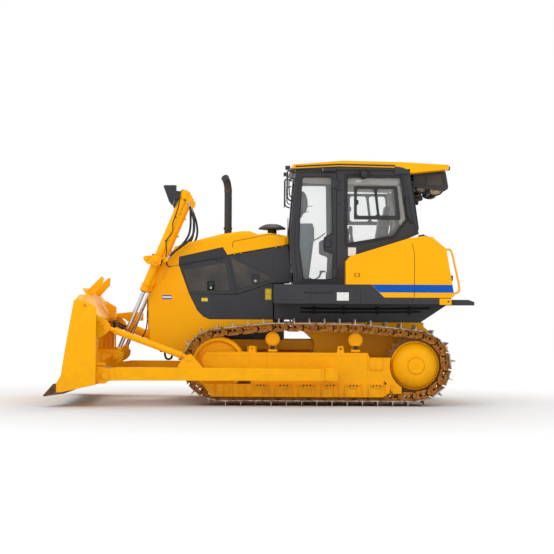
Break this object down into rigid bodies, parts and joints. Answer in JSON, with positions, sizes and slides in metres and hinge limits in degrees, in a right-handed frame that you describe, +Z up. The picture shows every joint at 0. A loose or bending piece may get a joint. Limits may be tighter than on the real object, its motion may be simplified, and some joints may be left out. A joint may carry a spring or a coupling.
{
  "type": "bulldozer",
  "caption": "Crawler bulldozer with a lifting front blade on push arms, hinged cab doors and engine side doors.",
  "frame": {"origin": "on the ground below the middle of the machine, blade included", "axes": "+X to the rear of the machine, +Y to its right side, +Z up"},
  "size_m": [5.676, 3.31, 3.326],
  "materials": {
    "yellow_paint": "gloss yellow machine enamel",
    "dark_paint": "satin charcoal enamel",
    "stack_steel": "heat resistant matt black",
    "engine_paint": "grey enamel",
    "track_steel": "worn and rusted forged steel",
    "worn_edge_steel": "scoured steel",
    "chrome": "hard chrome",
    "glass": "clear",
    "seat_vinyl": "grained vinyl",
    "console_plastic": "moulded",
    "hose_rubber": "hose cover"
  },
  "bodies": {
    "chassis": {"air_precleaner": "dark_paint", "cab_frame": "dark_paint", "cab_glass": "glass", "cab_roof": "yellow_paint", "carrier_rollers": "yellow_paint", "condenser": "dark_paint", "controls": "console_plastic", "drawbar": "yellow_paint", "engine": "engine_paint", "engine_panels": "dark_paint", "equalizer_bar": "yellow_paint", "exhaust_stack": "stack_steel", "fenders": "dark_paint", "final_drives": "yellow_paint", "fuel_tank": "yellow_paint", "handrails": "yellow_paint", "hood": "yellow_paint", "idlers": "yellow_paint", "main_frame": "yellow_paint", "mirrors": "dark_paint", "operator_seat": "seat_vinyl", "radiator_grille": "dark_paint", "radiator_guard": "yellow_paint", "roller_guards": "yellow_paint", "side_lockers": "yellow_paint", "sprockets": "track_steel", "track_frames": "yellow_paint", "track_left": "track_steel", "track_right": "track_steel", "track_rollers": "yellow_paint", "work_lamps": "dark_paint"},
    "blade": {"blade": "yellow_paint", "cutting_edge": "worn_edge_steel", "push_arm_left": "yellow_paint", "push_arm_right": "yellow_paint", "brace_left": "yellow_paint", "tilt_cylinder": "yellow_paint"},
    "lift_barrel_left": {"lift_barrel_left": "yellow_paint", "headlamp_left": "dark_paint", "lift_hoses_left": "hose_rubber"},
    "lift_barrel_right": {"lift_barrel_right": "yellow_paint", "headlamp_right": "dark_paint", "lift_hoses_right": "hose_rubber"},
    "lift_rod_left": {"lift_rod_left": "chrome"},
    "lift_rod_right": {"lift_rod_right": "chrome"},
    "cab_door_left": {"cab_door_left": "dark_paint", "door_glass_left": "glass"},
    "cab_door_right": {"cab_door_right": "dark_paint", "door_glass_right": "glass"},
    "engine_door_front_left": {"engine_door_front_left": "dark_paint"},
    "engine_door_front_right": {"engine_door_front_right": "dark_paint"},
    "engine_door_rear_left": {"engine_door_rear_left": "dark_paint"},
    "engine_door_rear_right": {"engine_door_rear_right": "dark_paint"}
  },
  "joints": [
    {"name": "blade_lift", "type": "hinge", "parent": "chassis", "child": "blade", "pos_m": [0.895, 0, 0.435], "axis": [0, 1, 0], "range_deg": [-9, 15]},
    {"name": "lift_swing_left", "type": "hinge", "parent": "chassis", "child": "lift_barrel_left", "pos_m": [-1.435, -0.665, 1.922], "axis": [0, 1, 0], "range_deg": [-7, 12]},
    {"name": "lift_stroke_left", "type": "slide", "parent": "lift_barrel_left", "child": "lift_rod_left", "axis": [0.3858, 0, 0.9226], "range_m": [-0.45, 0.74]},
    {"name": "lift_swing_right", "type": "hinge", "parent": "chassis", "child": "lift_barrel_right", "pos_m": [-1.435, 0.665, 1.922], "axis": [0, 1, 0], "range_deg": [-7, 12]},
    {"name": "lift_stroke_right", "type": "slide", "parent": "lift_barrel_right", "child": "lift_rod_right", "axis": [0.3858, 0, 0.9226], "range_m": [-0.45, 0.74]},
    {"name": "cab_door_left", "type": "hinge", "parent": "chassis", "child": "cab_door_left", "pos_m": [0.991, -0.796, 2.4], "axis": [0, 0, 1], "range_deg": [0, 95]},
    {"name": "cab_door_right", "type": "hinge", "parent": "chassis", "child": "cab_door_right", "pos_m": [0.991, 0.796, 2.4], "axis": [0, 0, -1], "range_deg": [0, 95]},
    {"name": "engine_door_front_left", "type": "hinge", "parent": "chassis", "child": "engine_door_front_left", "pos_m": [-1.136, -0.5795, 1.865], "axis": [-0.9845, 0, -0.1752], "range_deg": [0, 80]},
    {"name": "engine_door_front_right", "type": "hinge", "parent": "chassis", "child": "engine_door_front_right", "pos_m": [-1.136, 0.5795, 1.865], "axis": [0.9845, 0, 0.1752], "range_deg": [0, 80]},
    {"name": "engine_door_rear_left", "type": "hinge", "parent": "chassis", "child": "engine_door_rear_left", "pos_m": [-0.465, -0.5795, 2.006], "axis": [-0.9851, 0, -0.1718], "range_deg": [0, 80]},
    {"name": "engine_door_rear_right", "type": "hinge", "parent": "chassis", "child": "engine_door_rear_right", "pos_m": [-0.465, 0.5795, 2.006], "axis": [0.9851, 0, 0.1718], "range_deg": [0, 80]}
  ],
  "couplings": [
    {"joint": "lift_swing_left", "follows": "blade_lift", "ratio": 0.7},
    {"joint": "lift_stroke_left", "follows": "blade_lift", "m_per_rad": 2.7502},
    {"joint": "lift_swing_right", "follows": "blade_lift", "ratio": 0.7},
    {"joint": "lift_stroke_right", "follows": "blade_lift", "m_per_rad": 2.7502}
  ]
}
